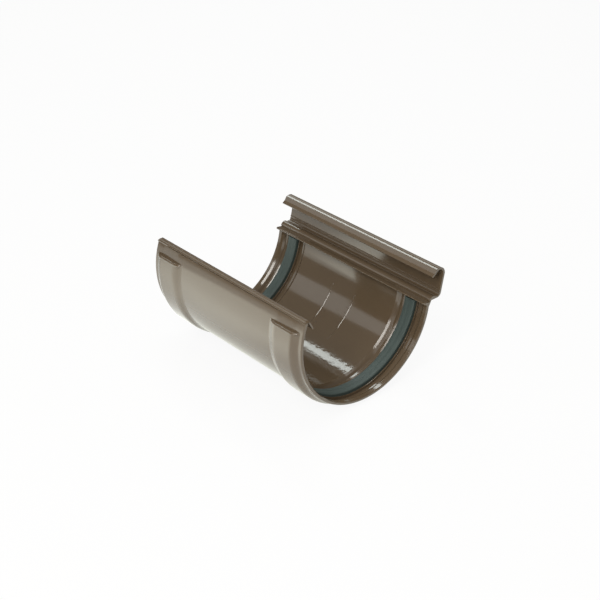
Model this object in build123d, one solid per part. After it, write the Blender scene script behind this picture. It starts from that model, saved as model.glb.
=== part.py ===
from build123d import *
from math import asin, degrees, radians, sqrt, tan
import os

# Gutter union for a half-round PVC gutter.
# X runs along the gutter, Y across it, Z up. The origin is on the gutter's axis at mid length.
# +Y is the front wall, with the clip that closes over the gutter's bead. -Y is the rear wall.

# Gutter that the union joins
gutter_radius = 62.5
gutter_play = 0.9

# Trough: two mouths and the middle between them
body_length = 175.0
mouth_wall = 2.6
mouth_edge_bevel = 0.6
middle_relief = 0.7
middle_wall = 2.7

# Seal housings, one near each mouth
housing_from_mouth = 8.8
housing_width = 19.2
housing_wall = 2.6
inner_slope_run = 6.0
inner_slope_round = 13.0
outer_slope_run = 5.1
outer_slope_round = 6.0
foot_sink = 0.1

# Hollow of each housing: a groove for the seal between two ribs, and a valley on either side
chamber_from_mouth = 3.7
chamber_width = 29.6
valley_edge_run = 1.8
valley_edge_drop = 1.05
valley_run = 3.4
groove_from_mouth = 12.3
groove_depth = 2.5
groove_width = 12.0
seal_rib_width = 1.5
seal_rib_run = 1.2
seal_rib_drop = 0.7
seal_top_angle = 8.0

# Rear wall: ledge over the housings, top bead and snap hook
ledge_height = 15.2
ledge_round = 0.9
wall_top_height = 22.9
bead_shoulder = 0.75
bead_step = 1.0
bead_lean = 0.3
bead_height = 2.45
bead_width = 4.0
bead_round = 0.3
hook_reach = 4.0
hook_drop = 7.4
hook_thickness = 1.2
wall_corner_round = 2.6

# Front wall: clip over the gutter's bead
clip_centre_out = 8.5
clip_centre_up = 14.6
clip_radius = 6.2
clip_wall = 1.7
clip_lean = 11.6
clip_roof_angle = 107.0
clip_brow_length = 1.4
clip_hook_length = 3.7
clip_hook_angle = 237.0
clip_lead_length = 3.0
clip_lead_angle = 214.0
clip_hook_wall = 1.2
clip_hook_round = 0.45
clip_floor = -3.4
clip_floor_wall = 1.5
clip_bottom_round = 4.0
clip_rib_radius = 0.45
clip_rib_from_floor = 1.8
clip_rib_pitch = 2.2
clip_rib_count = 2

# Roll and lip under the clip
roll_radius = 4.0
roll_from_mouth = 1.5
roll_top = -2.0
lip_reach = 5.0
lip_tip_height = -4.9
lip_tip_wall = 0.9
lip_top_height = -6.0
lip_root_height = -8.8
lip_edge_round = 0.4
lip_corner_round = 3.2

# Insertion marks on the front wall inside the middle
mark_spacing = 26.0
mark_width = 1.0
mark_height = 0.3
mark_start_angle = 26.0
mark_end_angle = 64.0

# Rubber seals
seal_side_play = 0.9
seal_end_play = 0.3
seal_squeeze = 0.1
seal_edge_bevel = 0.5
seal_lip_height = 0.25
seal_lip_count = 2

# Radii and positions that follow
mouth_inner = gutter_radius + gutter_play
mouth_outer = mouth_inner + mouth_wall
middle_inner = mouth_inner + middle_relief
middle_outer = middle_inner + middle_wall
groove_floor = middle_inner + groove_depth
housing_outer = groove_floor + housing_wall
half_length = body_length / 2
housing_end = half_length - housing_from_mouth
housing_start = housing_end - housing_width
groove_middle = half_length - groove_from_mouth - groove_width / 2
groove_top = ledge_height - housing_wall
clip_bottom = clip_floor - clip_floor_wall
wall_front_angle = degrees(asin(-(lip_top_height + lip_root_height) / 2 / mouth_inner))
band_front_angle = degrees(asin(-(clip_floor + clip_bottom) / 2 / housing_outer))
wall_rear_angle = 180 + degrees(asin(wall_top_height / middle_outer))


def face_of(points):
    """Flat face with straight sides."""
    return make_face(Polyline(*points, close=True))


def corners_at(face, points):
    """Corners of a flat face that lie at the given points."""
    return [face.vertices().sort_by_distance((u, v, 0))[0] for u, v in points]


def rounded(face, points, radius):
    """Rounds the corners of a flat face at the given points."""
    return fillet(corners_at(face, points), radius)


def bevelled(face, points, size):
    """Cuts off the corners of a flat face at the given points."""
    return chamfer(corners_at(face, points), size)


def trough_ring(face, start, end):
    """Turns a face drawn as (x, radius) about the axis, by angles measured down from the front."""
    return Rot(X=-end) * revolve(face, Axis.X, end - start)


def both_ends(solid):
    """The same form at each end of the trough."""
    return solid + mirror(solid, Plane.YZ)


def along_trough(section):
    """Runs a section drawn as (y, z) over the whole length."""
    return extrude(Plane.YZ * section, half_length, both=True)


def rear_block_above(height):
    """Block that clears the rear half above a height."""
    size = 4 * housing_outer
    return Pos(0, 0, height) * Box(size, size, size, align=(Align.CENTER, Align.MAX, Align.MIN))


def ledge_edge():
    """Cutter that rounds the outer edge of the ledge."""
    radius = housing_outer - ledge_round
    centre = Vector(-sqrt(radius**2 - (ledge_height - ledge_round) ** 2), ledge_height - ledge_round)
    square = Rectangle(2 * ledge_round, 2 * ledge_round, align=(Align.MAX, Align.MIN))
    corner = Pos(centre.X, centre.Y * housing_outer / radius) * square
    return along_trough(corner - Pos(centre.X, centre.Y) * Circle(ledge_round))


def trough_shell():
    """Half-round wall, a little wider in the middle than at the mouths."""
    points = [
        (0, middle_inner),
        (housing_start, middle_inner),
        (housing_end, mouth_inner),
        (half_length, mouth_inner),
        (half_length, mouth_outer),
        (housing_end, mouth_outer),
        (housing_start, middle_outer),
        (0, middle_outer),
    ]
    face = bevelled(face_of(points), [points[3], points[4]], mouth_edge_bevel)
    return both_ends(trough_ring(face, wall_front_angle, wall_rear_angle))


def housing_bands():
    """Raised bands over the seals, ending at a level ledge on the rear wall."""
    foot_in = housing_start - inner_slope_run
    foot_out = housing_end + outer_slope_run
    band_start = foot_in - inner_slope_run / 2
    band_end = foot_out + outer_slope_run / 2
    points = [
        (band_start, middle_outer - middle_wall / 2),
        (band_start, middle_outer - foot_sink),
        (foot_in, middle_outer - foot_sink),
        (housing_start, housing_outer),
        (housing_end, housing_outer),
        (foot_out, mouth_outer - foot_sink),
        (band_end - mouth_edge_bevel, mouth_outer - foot_sink),
        (band_end - mouth_edge_bevel, mouth_outer - mouth_wall / 2),
    ]
    face = rounded(face_of(points), [points[2], points[3]], inner_slope_round)
    face = rounded(face, [points[4], points[5]], outer_slope_round)
    band = trough_ring(face, band_front_angle, wall_rear_angle)
    return both_ends(band - rear_block_above(ledge_height) - ledge_edge())


def seal_chambers():
    """Hollow in each band: a valley, the groove between two ribs, and a valley again."""
    end = half_length - chamber_from_mouth
    start = end - chamber_width
    open_inside = mouth_inner - valley_edge_drop
    points = [
        (start, open_inside),
        (start, middle_inner),
        (start + valley_edge_run, middle_inner + valley_edge_drop),
        (start + valley_run, groove_floor),
        (end - valley_run, groove_floor),
        (end - valley_edge_run, mouth_inner + valley_edge_drop),
        (end, mouth_inner),
        (end, open_inside),
    ]
    face = face_of(points)
    for side in (-1, 1):
        near = groove_middle + side * groove_width / 2
        far = near + side * seal_rib_width
        rib = [
            (near, 2 * groove_floor),
            (near, middle_inner + seal_rib_drop),
            (near + side * seal_rib_run, middle_inner),
            (far, middle_inner),
            (far, 2 * groove_floor),
        ]
        face = face - face_of(rib)
    ring = trough_ring(face, seal_top_angle, wall_rear_angle) - rear_block_above(groove_top)
    return both_ends(ring)


def clip_section():
    """C-shaped clip: back, rolled roof with its hook, floor with gripping ribs, and the roll."""
    centre = Vector(mouth_outer + clip_centre_out, clip_centre_up)
    roof_outer = CenterArc(centre, clip_radius, -clip_lean, clip_roof_angle + clip_lean)
    roof_inner = CenterArc(centre, clip_radius - clip_wall, -clip_lean, clip_roof_angle + clip_lean)
    along_hook = Vector(1, 0).rotate(Axis.Z, clip_hook_angle)
    along_lead = Vector(1, 0).rotate(Axis.Z, clip_lead_angle)
    brow = roof_outer @ 1 + Vector(1, 0).rotate(Axis.Z, clip_roof_angle + 90) * clip_brow_length
    knee = brow + along_hook * clip_hook_length
    tip = knee + along_lead * clip_lead_length
    knee_inner = knee + (along_hook + along_lead).normalized().rotate(Axis.Z, 90) * clip_hook_wall
    tip_inner = tip + along_lead.rotate(Axis.Z, 90) * clip_hook_wall
    hook = Polyline(roof_outer @ 1, brow, knee, tip, tip_inner, knee_inner, roof_inner @ 1)
    back_outer = roof_outer @ 0
    back_inner = roof_inner @ 0
    slope = tan(radians(clip_lean))
    heel = (back_outer.X - (back_outer.Y - clip_bottom) * slope, clip_bottom)
    heel_inner = (back_inner.X - (back_inner.Y - clip_floor) * slope, clip_floor)
    roll_y = mouth_inner + roll_from_mouth + roll_radius
    floor = Polyline(
        back_inner,
        heel_inner,
        (roll_y, clip_floor),
        (roll_y - roll_radius, lip_top_height),
        (mouth_inner + mouth_wall / 2, lip_root_height),
        (mouth_outer - mouth_wall / 4, lip_root_height),
        (middle_outer + mouth_wall / 8, clip_bottom),
        heel,
        back_outer,
    )
    face = make_face([roof_outer, hook, roof_inner, floor])
    face = rounded(face, [heel], clip_bottom_round)
    face = rounded(face, [heel_inner], clip_bottom_round - clip_floor_wall)
    face = rounded(face, [(tip.X, tip.Y), (tip_inner.X, tip_inner.Y)], clip_hook_round)
    above_bottom = Rectangle(2 * roll_radius, 2 * roll_radius, align=(Align.CENTER, Align.MIN))
    roll = Pos(roll_y, roll_top - roll_radius) * Circle(roll_radius)
    face = face + (roll & Pos(roll_y, clip_bottom) * above_bottom)
    face = face + Pos(roll_y + roll_radius, clip_floor) * Circle(clip_rib_radius)
    for index in range(clip_rib_count):
        height = clip_floor + clip_rib_from_floor + index * clip_rib_pitch
        place = Pos(back_inner.X - (back_inner.Y - height) * slope, height)
        face = face + place * Circle(clip_rib_radius)
    return face


def front_lip():
    """Thin lip under the roll that holds the gutter down, with rounded corners."""
    tip = (mouth_inner - lip_reach, lip_tip_height)
    tip_under = (tip[0] + lip_tip_wall / 2, lip_tip_height - lip_tip_wall)
    root = (sqrt(middle_inner**2 - lip_root_height**2) + 0.2, lip_root_height)
    hidden_y = mouth_outer - mouth_wall / 4
    section = face_of([tip, tip_under, root, (hidden_y, lip_root_height), (hidden_y, lip_top_height)])
    section = rounded(section, [tip, tip_under], lip_edge_round)
    depth = 2 * (hidden_y - tip[0])
    plan = Pos(0, tip[0] + depth / 2) * RectangleRounded(body_length, depth, lip_corner_round)
    return along_trough(section) & extrude(plan, 4 * lip_root_height, both=True)


def rear_top():
    """Stepped bead along the top of the rear wall, and the thin hook that snaps over the gutter's edge."""
    outer_y = -sqrt(((mouth_outer + middle_outer) / 2) ** 2 - wall_top_height**2)
    inner_y = -sqrt(mouth_inner**2 - wall_top_height**2)
    shoulder = (outer_y, wall_top_height + bead_shoulder)
    valley = (outer_y + bead_step, wall_top_height + bead_shoulder + bead_lean)
    crest = (outer_y + bead_step + bead_lean, wall_top_height + bead_height - bead_lean)
    ridge = (outer_y + 2 * bead_step, wall_top_height + bead_height)
    apex = Vector(outer_y + bead_width, wall_top_height + bead_height - bead_lean)
    along = Vector(hook_reach, -hook_drop).normalized()
    across = along.rotate(Axis.Z, -90)
    tip = apex + Vector(hook_reach, -hook_drop)
    tip_inner = tip + across * hook_thickness
    under_apex = apex + across * hook_thickness
    pocket = under_apex + along * ((inner_y - under_apex.X) / along.X)
    points = [
        (outer_y + bead_step, wall_top_height - bead_height),
        shoulder,
        valley,
        crest,
        ridge,
        (apex.X, apex.Y),
        (tip.X, tip.Y),
        (tip_inner.X, tip_inner.Y),
        (pocket.X, pocket.Y),
        (inner_y - mouth_wall / 2, wall_top_height - bead_height),
    ]
    section = rounded(face_of(points), [points[1], points[5], points[6]], bead_round)
    height = 4 * bead_height + 2 * hook_drop
    side = Pos(0, ridge[1] - height / 2) * RectangleRounded(body_length, height, wall_corner_round)
    return along_trough(section) & extrude(Plane.XZ * side, 2 * housing_outer, both=True)


def insertion_marks():
    """Two fine raised lines that show how far each gutter end goes in."""
    middle = mark_spacing / 2
    points = [
        (middle - mark_width / 2, middle_inner + mark_height),
        (middle - mark_width / 2, middle_inner),
        (middle, middle_inner - mark_height),
        (middle + mark_width / 2, middle_inner),
        (middle + mark_width / 2, middle_inner + mark_height),
    ]
    return both_ends(trough_ring(face_of(points), mark_start_angle, mark_end_angle))


def union_body():
    """The whole moulding, one piece of PVC."""
    body = trough_shell() + housing_bands()
    body = body - seal_chambers()
    body = body + along_trough(clip_section())
    body = body + front_lip() + rear_top()
    return body + insertion_marks()


def right_seal():
    """Rubber strip that stands out of its groove, with a row of fine lips towards the gutter."""
    width = groove_width - 2 * seal_side_play
    lip_tip = gutter_radius - seal_squeeze
    lip_root = lip_tip + seal_lip_height
    pitch = (width - 2 * seal_edge_bevel) / seal_lip_count
    first = groove_middle - width / 2 + seal_edge_bevel
    points = [(first, lip_root)]
    for index in range(seal_lip_count):
        points.append((first + (index + 0.5) * pitch, lip_tip))
        points.append((first + (index + 1) * pitch, lip_root))
    points += [
        (groove_middle + width / 2, lip_root + seal_edge_bevel),
        (groove_middle + width / 2, groove_floor),
        (groove_middle - width / 2, groove_floor),
        (groove_middle - width / 2, lip_root + seal_edge_bevel),
    ]
    face = face_of(points)
    start = seal_top_angle + degrees(seal_end_play / groove_floor)
    return trough_ring(face, start, wall_rear_angle) - rear_block_above(groove_top - seal_end_play)


os.makedirs("parts", exist_ok=True)
seal = right_seal()
pieces = {
    "union_body": union_body(),
    "right_seal": seal,
    "left_seal": mirror(seal, Plane.YZ),
}
for name, piece in pieces.items():
    export_step(piece, f"parts/{name}.step")
    print(name, len(piece.solids()), "solid", round(piece.volume / 1000, 1), "cm3", piece.bounding_box())
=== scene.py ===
import math

import bmesh
import bpy
from mathutils import Matrix, Vector
from mathutils.bvhtree import BVHTree


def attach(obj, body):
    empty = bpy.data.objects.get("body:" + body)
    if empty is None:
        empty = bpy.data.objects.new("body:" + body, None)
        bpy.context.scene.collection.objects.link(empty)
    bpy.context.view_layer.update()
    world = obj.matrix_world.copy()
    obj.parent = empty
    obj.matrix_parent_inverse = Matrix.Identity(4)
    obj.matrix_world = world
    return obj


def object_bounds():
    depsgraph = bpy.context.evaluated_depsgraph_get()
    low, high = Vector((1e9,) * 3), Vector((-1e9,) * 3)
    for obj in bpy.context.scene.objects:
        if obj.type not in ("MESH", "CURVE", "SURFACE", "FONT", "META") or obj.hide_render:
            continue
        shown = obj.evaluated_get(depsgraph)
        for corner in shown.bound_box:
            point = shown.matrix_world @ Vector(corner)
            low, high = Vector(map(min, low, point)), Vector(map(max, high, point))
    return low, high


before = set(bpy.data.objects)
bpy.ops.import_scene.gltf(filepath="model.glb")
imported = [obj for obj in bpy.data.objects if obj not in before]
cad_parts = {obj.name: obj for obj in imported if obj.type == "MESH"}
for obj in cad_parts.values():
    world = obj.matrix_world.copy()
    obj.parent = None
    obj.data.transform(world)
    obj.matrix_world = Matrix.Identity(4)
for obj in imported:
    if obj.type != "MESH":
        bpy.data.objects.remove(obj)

cad_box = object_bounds()


# Union moulding: one injection moulded piece of rigid PVC in taupe brown. The shape is
# the CAD node. It gets the gloss of a polished mould, and a soft line of light along
# each edge, which no mould leaves perfectly sharp.
MM = 0.001
PVC_BROWN = "#5e503f"
PVC_BROWN_DEEP = "#584a39"
PVC_IOR = 1.54
FLOW_SIZE = 60 * MM
HAZE_SIZE = 9 * MM
HAZE_LOW = 0.3
HAZE_HIGH = 0.7
LEAST_ROUGHNESS = 0.09
MOST_ROUGHNESS = 0.13
RIPPLE_SIZE = 4 * MM
CALM_WAVE = 0.002 * MM
FLOOR_WAVE = 0.13 * MM
FLOOR_RIM_Z = -58 * MM
FLOOR_BED_Z = -61.5 * MM
MIDDLE_INNER_X = 54 * MM
MIDDLE_OUTER_X = 58 * MM
GRAIN_SIZE = 0.8 * MM
GRAIN_HEIGHT = 0.0005 * MM
EDGE_ROUND = 0.25 * MM
EDGE_SAMPLES = 8

# Sockets of a Mix node set to colours, by number: the factor, both colours and the result.
FACTOR = 0
COLOUR_A = 6
COLOUR_B = 7
MIXED = 2


def linear(hex_colour):
    """sRGB hex colour as linear RGBA."""
    values = [int(hex_colour[i:i + 2], 16) / 255 for i in (1, 3, 5)]
    return [v / 12.92 if v <= 0.04045 else ((v + 0.055) / 1.055) ** 2.4 for v in values] + [1.0]


def add_node(material, kind, settings, links=None):
    """Adds a shader node with its settings, and links its inputs to outputs of other nodes."""
    node = material.node_tree.nodes.new(kind)
    for name, value in settings.items():
        if isinstance(name, int) or name in node.inputs:
            node.inputs[name].default_value = value
        else:
            setattr(node, name, value)
    for name, (source, output) in (links or {}).items():
        material.node_tree.links.new(source.outputs[output], node.inputs[name])
    return node


def new_material(name):
    """Empty node material."""
    material = bpy.data.materials.new(name)
    material.use_nodes = True
    material.node_tree.nodes.clear()
    return material


def dress(piece, material):
    """Gives a piece its one material."""
    piece.data.materials.clear()
    piece.data.materials.append(material)


# Moulded PVC: smooth and glossy, one colour all through. The slow change of colour is the
# flow of the melt. The waviness is hardly seen, except on the floor of the middle, where it
# mottles the long streak of light. The grain of the skin is drawn coarser than real, so
# that it shows.
pvc = new_material("pvc_taupe_gloss")
place = add_node(pvc, "ShaderNodeTexCoord", {})
flow = add_node(
    pvc,
    "ShaderNodeTexNoise",
    {"Scale": 1 / FLOW_SIZE, "Detail": 3.0, "Roughness": 0.55},
    {"Vector": (place, "Object")},
)
colour = add_node(
    pvc,
    "ShaderNodeMix",
    {"data_type": "RGBA", COLOUR_A: linear(PVC_BROWN_DEEP), COLOUR_B: linear(PVC_BROWN)},
    {FACTOR: (flow, "Fac")},
)
haze = add_node(
    pvc,
    "ShaderNodeTexNoise",
    {"Scale": 1 / HAZE_SIZE, "Detail": 4.0, "Roughness": 0.6},
    {"Vector": (place, "Object")},
)
gloss = add_node(
    pvc,
    "ShaderNodeMapRange",
    {
        "From Min": HAZE_LOW,
        "From Max": HAZE_HIGH,
        "To Min": LEAST_ROUGHNESS,
        "To Max": MOST_ROUGHNESS,
    },
    {"Value": (haze, "Fac")},
)
ripple = add_node(
    pvc,
    "ShaderNodeTexNoise",
    {"Scale": 1 / RIPPLE_SIZE, "Detail": 2.0, "Roughness": 0.5},
    {"Vector": (place, "Object")},
)
axes = add_node(pvc, "ShaderNodeSeparateXYZ", {}, {"Vector": (place, "Object")})
from_middle = add_node(pvc, "ShaderNodeMath", {"operation": "ABSOLUTE"}, {0: (axes, "X")})
low = add_node(
    pvc,
    "ShaderNodeMapRange",
    {"From Min": FLOOR_RIM_Z, "From Max": FLOOR_BED_Z, "To Min": CALM_WAVE, "To Max": FLOOR_WAVE},
    {"Value": (axes, "Z")},
)
central = add_node(
    pvc,
    "ShaderNodeMapRange",
    {
        "From Min": MIDDLE_OUTER_X,
        "From Max": MIDDLE_INNER_X,
        "To Min": CALM_WAVE,
        "To Max": FLOOR_WAVE,
    },
    {"Value": (from_middle, "Value")},
)
swell = add_node(
    pvc, "ShaderNodeMath", {"operation": "MINIMUM"}, {0: (low, "Result"), 1: (central, "Result")}
)
grain = add_node(
    pvc,
    "ShaderNodeTexNoise",
    {"Scale": 1 / GRAIN_SIZE, "Detail": 1.0},
    {"Vector": (place, "Object")},
)
edges = add_node(pvc, "ShaderNodeBevel", {"samples": EDGE_SAMPLES, "Radius": EDGE_ROUND})
waves = add_node(
    pvc,
    "ShaderNodeBump",
    {"Strength": 1.0},
    {"Height": (ripple, "Fac"), "Distance": (swell, "Value"), "Normal": (edges, "Normal")},
)
skin = add_node(
    pvc,
    "ShaderNodeBump",
    {"Strength": 1.0, "Distance": GRAIN_HEIGHT},
    {"Height": (grain, "Fac"), "Normal": (waves, "Normal")},
)
body_shader = add_node(
    pvc,
    "ShaderNodeBsdfPrincipled",
    {"IOR": PVC_IOR},
    {"Base Color": (colour, MIXED), "Roughness": (gloss, "Result"), "Normal": (skin, "Normal")},
)
add_node(pvc, "ShaderNodeOutputMaterial", {}, {"Surface": (body_shader, "BSDF")})

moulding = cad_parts["union_body"]
dress(moulding, pvc)


# Insertion ticks: short raised bars beside the two insertion lines, moulded in one with
# the wall. They are too fine for the CAD node, so they are made here. Their angles run
# down the front wall from the height of the axis, in degrees.
BORE_RADIUS = 64.1 * MM
TICK_LENGTH = 1.6 * MM
TICK_WIDTH = 0.5 * MM
TICK_HEIGHT = 0.3 * MM
TICK_ROUND = 0.1 * MM
RIGHT_TICKS_X = 10.8 * MM
RIGHT_TICKS = range(37, 58, 4)
LEFT_TICKS_X = -8.6 * MM
LEFT_TICKS = range(47, 58, 5)


def add_object(name, mesh):
    """Puts an object with the shape of a bmesh into the scene, and frees the bmesh."""
    data = bpy.data.meshes.new(name)
    mesh.to_mesh(data)
    mesh.free()
    piece = bpy.data.objects.new(name, data)
    bpy.context.scene.collection.objects.link(piece)
    return piece


tick_mesh = bmesh.new()
for x, angles in ((RIGHT_TICKS_X, RIGHT_TICKS), (LEFT_TICKS_X, LEFT_TICKS)):
    for angle in angles:
        turn = Matrix.Rotation(math.radians(-angle), 4, "X")
        shift = Matrix.Translation((x, BORE_RADIUS, 0))
        size = Matrix.Diagonal((TICK_LENGTH, 2 * TICK_HEIGHT, TICK_WIDTH, 1))
        bmesh.ops.create_cube(tick_mesh, size=1, matrix=turn @ shift @ size)
bmesh.ops.bevel(
    tick_mesh,
    geom=tick_mesh.edges,
    offset=TICK_ROUND,
    offset_type="OFFSET",
    affect="EDGES",
    segments=2,
    profile=0.5,
    material=-1,
)
ticks = add_object("insertion_ticks", tick_mesh)
dress(ticks, pvc)
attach(ticks, "root")


# Ledge beads: a rounded bead along the outer edge of each ledge on the rear wall, moulded
# in one with the band, which it follows down to its feet. The CAD node lacks it, so it is
# swept here along the wall, and both of its ends sink right into the wall.
BEAD_RADIUS = 1.3 * MM
BEAD_SUNK = 0.45 * MM
BEAD_HEIGHT = 14.1 * MM
BEAD_START = 54.5 * MM
BEAD_END = 83.5 * MM
BEAD_STEP = 0.5 * MM
BEAD_TAPER = 2.0 * MM
BEAD_SIDES = 16
BEHIND_WALL = -90 * MM
INWARD = Vector((0, 1, 0))
UP = Vector((0, 0, 1))


def bead_centres(wall, hand):
    """Centres of the bead's rings, found on the outside of the wall."""
    centres = []
    for index in range(round((BEAD_END - BEAD_START) / BEAD_STEP) + 1):
        x = BEAD_START + index * BEAD_STEP
        outside = wall.ray_cast((hand * x, BEHIND_WALL, BEAD_HEIGHT), INWARD)[0]
        from_end = min(x - BEAD_START, BEAD_END - x)
        sunk = BEAD_SUNK + BEAD_RADIUS * max(0, 1 - from_end / BEAD_TAPER) ** 2
        centres.append(outside + sunk * INWARD)
    return centres


wall = BVHTree.FromPolygons(
    [vertex.co for vertex in moulding.data.vertices],
    [face.vertices for face in moulding.data.polygons],
)
bead_mesh = bmesh.new()
for hand in (-1, 1):
    centres = bead_centres(wall, hand)
    last = len(centres) - 1
    rings = []
    for index, centre in enumerate(centres):
        along = (centres[min(index + 1, last)] - centres[max(index - 1, 0)]).normalized()
        turn = Matrix((UP.cross(along), UP, along)).transposed().to_4x4()
        circle = bmesh.ops.create_circle(
            bead_mesh,
            cap_ends=index in (0, last),
            segments=BEAD_SIDES,
            radius=BEAD_RADIUS,
            matrix=Matrix.Translation(centre) @ turn,
        )
        ring = dict.fromkeys(edge for vertex in circle["verts"] for edge in vertex.link_edges)
        rings.append(list(ring))
    for first, second in zip(rings, rings[1:]):
        for face in bmesh.ops.bridge_loops(bead_mesh, edges=first + second)["faces"]:
            face.smooth = True
bmesh.ops.recalc_face_normals(bead_mesh, faces=bead_mesh.faces)
beads = add_object("ledge_beads", bead_mesh)
dress(beads, pvc)
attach(beads, "root")


# Seals: two strips of moulded EPDM rubber, each pushed into its groove.
# They stay the CAD nodes, in a dark rubber with a satin skin.
RUBBER_DARK = "#394441"
RUBBER_BLOOM = "#424f4c"
RUBBER_IOR = 1.5
RUBBER_ROUGHNESS = 0.6
BLOOM_SIZE = 14 * MM
PORE_SIZE = 0.5 * MM
PORE_DEPTH = 0.02 * MM

# EPDM: dark teal grey and satin, with the faint pale bloom that rubber gets in store. Its
# pores are drawn coarser than real ones, so that they show.
rubber = new_material("epdm_rubber_satin")
place = add_node(rubber, "ShaderNodeTexCoord", {})
bloom = add_node(
    rubber,
    "ShaderNodeTexNoise",
    {"Scale": 1 / BLOOM_SIZE, "Detail": 5.0, "Roughness": 0.6},
    {"Vector": (place, "Object")},
)
colour = add_node(
    rubber,
    "ShaderNodeMix",
    {"data_type": "RGBA", COLOUR_A: linear(RUBBER_DARK), COLOUR_B: linear(RUBBER_BLOOM)},
    {FACTOR: (bloom, "Fac")},
)
pores = add_node(
    rubber,
    "ShaderNodeTexNoise",
    {"Scale": 1 / PORE_SIZE, "Detail": 2.0},
    {"Vector": (place, "Object")},
)
matt = add_node(
    rubber,
    "ShaderNodeBump",
    {"Strength": 1.0, "Distance": PORE_DEPTH},
    {"Height": (pores, "Fac")},
)
rubber_shader = add_node(
    rubber,
    "ShaderNodeBsdfPrincipled",
    {"IOR": RUBBER_IOR, "Roughness": RUBBER_ROUGHNESS},
    {"Base Color": (colour, MIXED), "Normal": (matt, "Normal")},
)
add_node(rubber, "ShaderNodeOutputMaterial", {}, {"Surface": (rubber_shader, "BSDF")})

for name in ("left_seal", "right_seal"):
    dress(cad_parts[name], rubber)


# Table: a round table in white lacquer. It is white to the camera, keeps the soft shadow
# of the moulding and throws light up at it from below.
TABLE_RADIUS = 1.3
TABLE_SIDES = 128
TABLE_PAINT = "#e7e7e7"
WHITE = "#ffffff"
SHADOW_SHARE = 0.08
TABLE_SHEEN = (0.74, 0.78, 0.71, 1.0)
# Colour of the painted pool of light: a glow seen in reflections, which no lamp casts.
PAINTED_POOL_GLOW = (2.24, 2.28, 1.97, 1.0)
POOL_CENTRE = (-0.165, -0.31, 0.0)
POOL_TURN = math.radians(49.5)
POOL_REACH = (0.31, 0.18, 1.0)
POOL_EDGE = 0.35

table_mesh = bmesh.new()
bmesh.ops.create_circle(table_mesh, cap_ends=True, segments=TABLE_SIDES, radius=TABLE_RADIUS)
bmesh.ops.translate(table_mesh, vec=(0, 0, cad_box[0][2]), verts=table_mesh.verts)
table = add_object("table", table_mesh)

# White lacquer: white to the camera. Glossy faces see it a little dimmer, with a painted
# pool of light beside the rear wall: a brighter oval that glows only in reflections and
# that no lamp casts.
lacquer = new_material("white_lacquer")
rays = add_node(lacquer, "ShaderNodeLightPath", {})
paint = add_node(lacquer, "ShaderNodeBsdfDiffuse", {"Color": linear(TABLE_PAINT)})
glow = add_node(lacquer, "ShaderNodeEmission", {"Color": linear(WHITE), "Strength": 1.0})
share = add_node(
    lacquer,
    "ShaderNodeMath",
    {"operation": "MULTIPLY", 1: 1 - SHADOW_SHARE},
    {0: (rays, "Is Camera Ray")},
)
place = add_node(lacquer, "ShaderNodeTexCoord", {})
# Mask of the painted pool of light: an oval beside the rear wall.
pool = add_node(
    lacquer,
    "ShaderNodeMapping",
    {
        "vector_type": "TEXTURE",
        "Location": POOL_CENTRE,
        "Rotation": (0, 0, POOL_TURN),
        "Scale": POOL_REACH,
    },
    {"Vector": (place, "Object")},
)
round_pool = add_node(
    lacquer, "ShaderNodeTexGradient", {"gradient_type": "SPHERICAL"}, {"Vector": (pool, "Vector")}
)
soft_pool = add_node(
    lacquer,
    "ShaderNodeMapRange",
    {"interpolation_type": "SMOOTHSTEP", "From Min": 0.0, "From Max": POOL_EDGE},
    {"Value": (round_pool, "Fac")},
)
# The table's glow in reflections, with the painted pool of light mixed in inside the oval.
table_glow_and_painted_pool = add_node(
    lacquer,
    "ShaderNodeMix",
    {"data_type": "RGBA", COLOUR_A: TABLE_SHEEN, COLOUR_B: PAINTED_POOL_GLOW},
    {FACTOR: (soft_pool, "Result")},
)
glossy_glow_and_painted_pool = add_node(
    lacquer,
    "ShaderNodeEmission",
    {},
    {"Color": (table_glow_and_painted_pool, MIXED), "Strength": (rays, "Is Glossy Ray")},
)
lit = add_node(lacquer, "ShaderNodeAddShader", {}, {0: (paint, "BSDF"), 1: (glossy_glow_and_painted_pool, "Emission")})
top = add_node(
    lacquer,
    "ShaderNodeMixShader",
    {},
    {0: (share, "Value"), 1: (lit, "Shader"), 2: (glow, "Emission")},
)
add_node(lacquer, "ShaderNodeOutputMaterial", {}, {"Surface": (top, "Shader")})
dress(table, lacquer)


# Studio: a white room, dim to all but the camera, with six softboxes that face the
# moulding. The key stands on the camera's side, and the others stand around and above.
ROOM_TINT = (1.0, 0.98, 0.95, 1.0)
ROOM_LIGHT = 0.25

room = bpy.data.worlds.new("studio")
bpy.context.scene.world = room
room.use_nodes = True
room.node_tree.nodes.clear()
rays = add_node(room, "ShaderNodeLightPath", {})
backdrop = add_node(room, "ShaderNodeBackground", {"Color": linear(WHITE), "Strength": 1.0})
dim = add_node(room, "ShaderNodeBackground", {"Color": ROOM_TINT, "Strength": ROOM_LIGHT})
walls = add_node(
    room,
    "ShaderNodeMixShader",
    {},
    {0: (rays, "Is Camera Ray"), 1: (dim, "Background"), 2: (backdrop, "Background")},
)
add_node(room, "ShaderNodeOutputWorld", {}, {"Surface": (walls, "Shader")})


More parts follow.
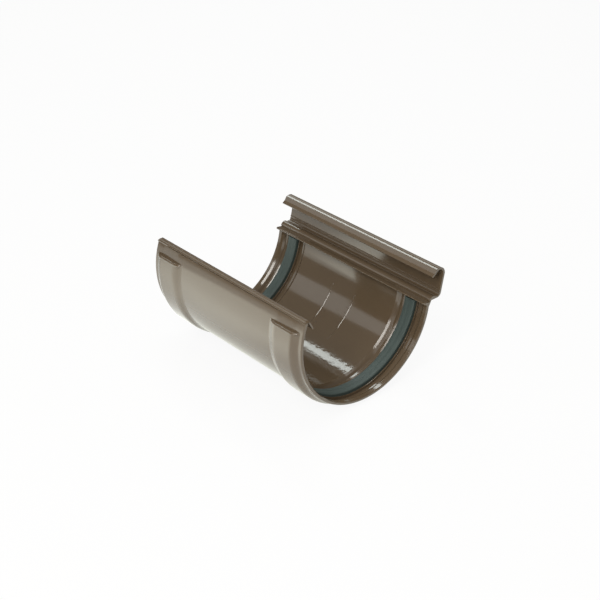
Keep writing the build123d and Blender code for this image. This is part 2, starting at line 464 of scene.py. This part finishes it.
def softbox(name, place, size, radiance, colour, up=UP):
    """Rectangular softbox that faces the origin, its height along `up`, with a given radiance."""
    light = bpy.data.lights.new(name, "AREA")
    light.shape = "RECTANGLE"
    light.size, light.size_y = size
    light.energy = radiance * math.pi * size[0] * size[1]
    light.color = colour
    lamp = bpy.data.objects.new(name, light)
    lamp.location = place
    back = Vector(place).normalized()
    side = Vector(up).cross(back).normalized()
    lamp.rotation_euler = Matrix((side, back.cross(side), back)).transposed().to_euler()
    bpy.context.scene.collection.objects.link(lamp)


softbox(
    "key_softbox",
    place=(0.495, -1.035, 0.96),
    size=(0.4, 1.0),
    radiance=11.0,
    colour=(1.0, 0.97, 0.92),
    up=(-0.01, 0.53, 0.57),
)
softbox(
    "overhead_softbox",
    place=(0.0, 0.15, 1.3),
    size=(0.9, 0.9),
    radiance=2.2,
    colour=(1.0, 0.99, 0.97),
)
softbox(
    "back_softbox",
    place=(-0.86, 0.44, 1.0),
    size=(0.22, 0.6),
    radiance=7.0,
    colour=(0.92, 1.0, 0.98),
    up=(1, 0, 0),
)
softbox(
    "back_wall",
    place=(-0.95, 0.85, 0.72),
    size=(0.7, 0.42),
    radiance=1.1,
    colour=(0.98, 1.0, 0.97),
)
softbox(
    "front_panel",
    place=(-1.024, -0.96, 0.688),
    size=(0.5, 0.5),
    radiance=1.3,
    colour=(0.95, 0.97, 0.95),
)
softbox(
    "fill_panel",
    place=(0.86, -0.75, 0.62),
    size=(1.0, 1.0),
    radiance=1.0,
    colour=(1.0, 0.98, 0.95),
)


# Camera: above the near end, with a long lens that looks down into the trough. Its lens,
# place and angles were fitted to the object's outline in the photo.
LENS_MM = 82.156
SENSOR_WIDTH_MM = 36.0
CAMERA_PLACE = (0.70875, -0.61231, 0.51234)
CAMERA_DOWN = 29.466
CAMERA_TURN = 48.727

view = bpy.data.cameras.new("camera")
view.lens = LENS_MM
view.sensor_width = SENSOR_WIDTH_MM
camera = bpy.data.objects.new("camera", view)
camera.location = CAMERA_PLACE
camera.rotation_euler = (math.radians(90 - CAMERA_DOWN), 0.0, math.radians(CAMERA_TURN))
bpy.context.scene.collection.objects.link(camera)
bpy.context.scene.camera = camera
bpy.context.scene.view_settings.view_transform = "Standard"
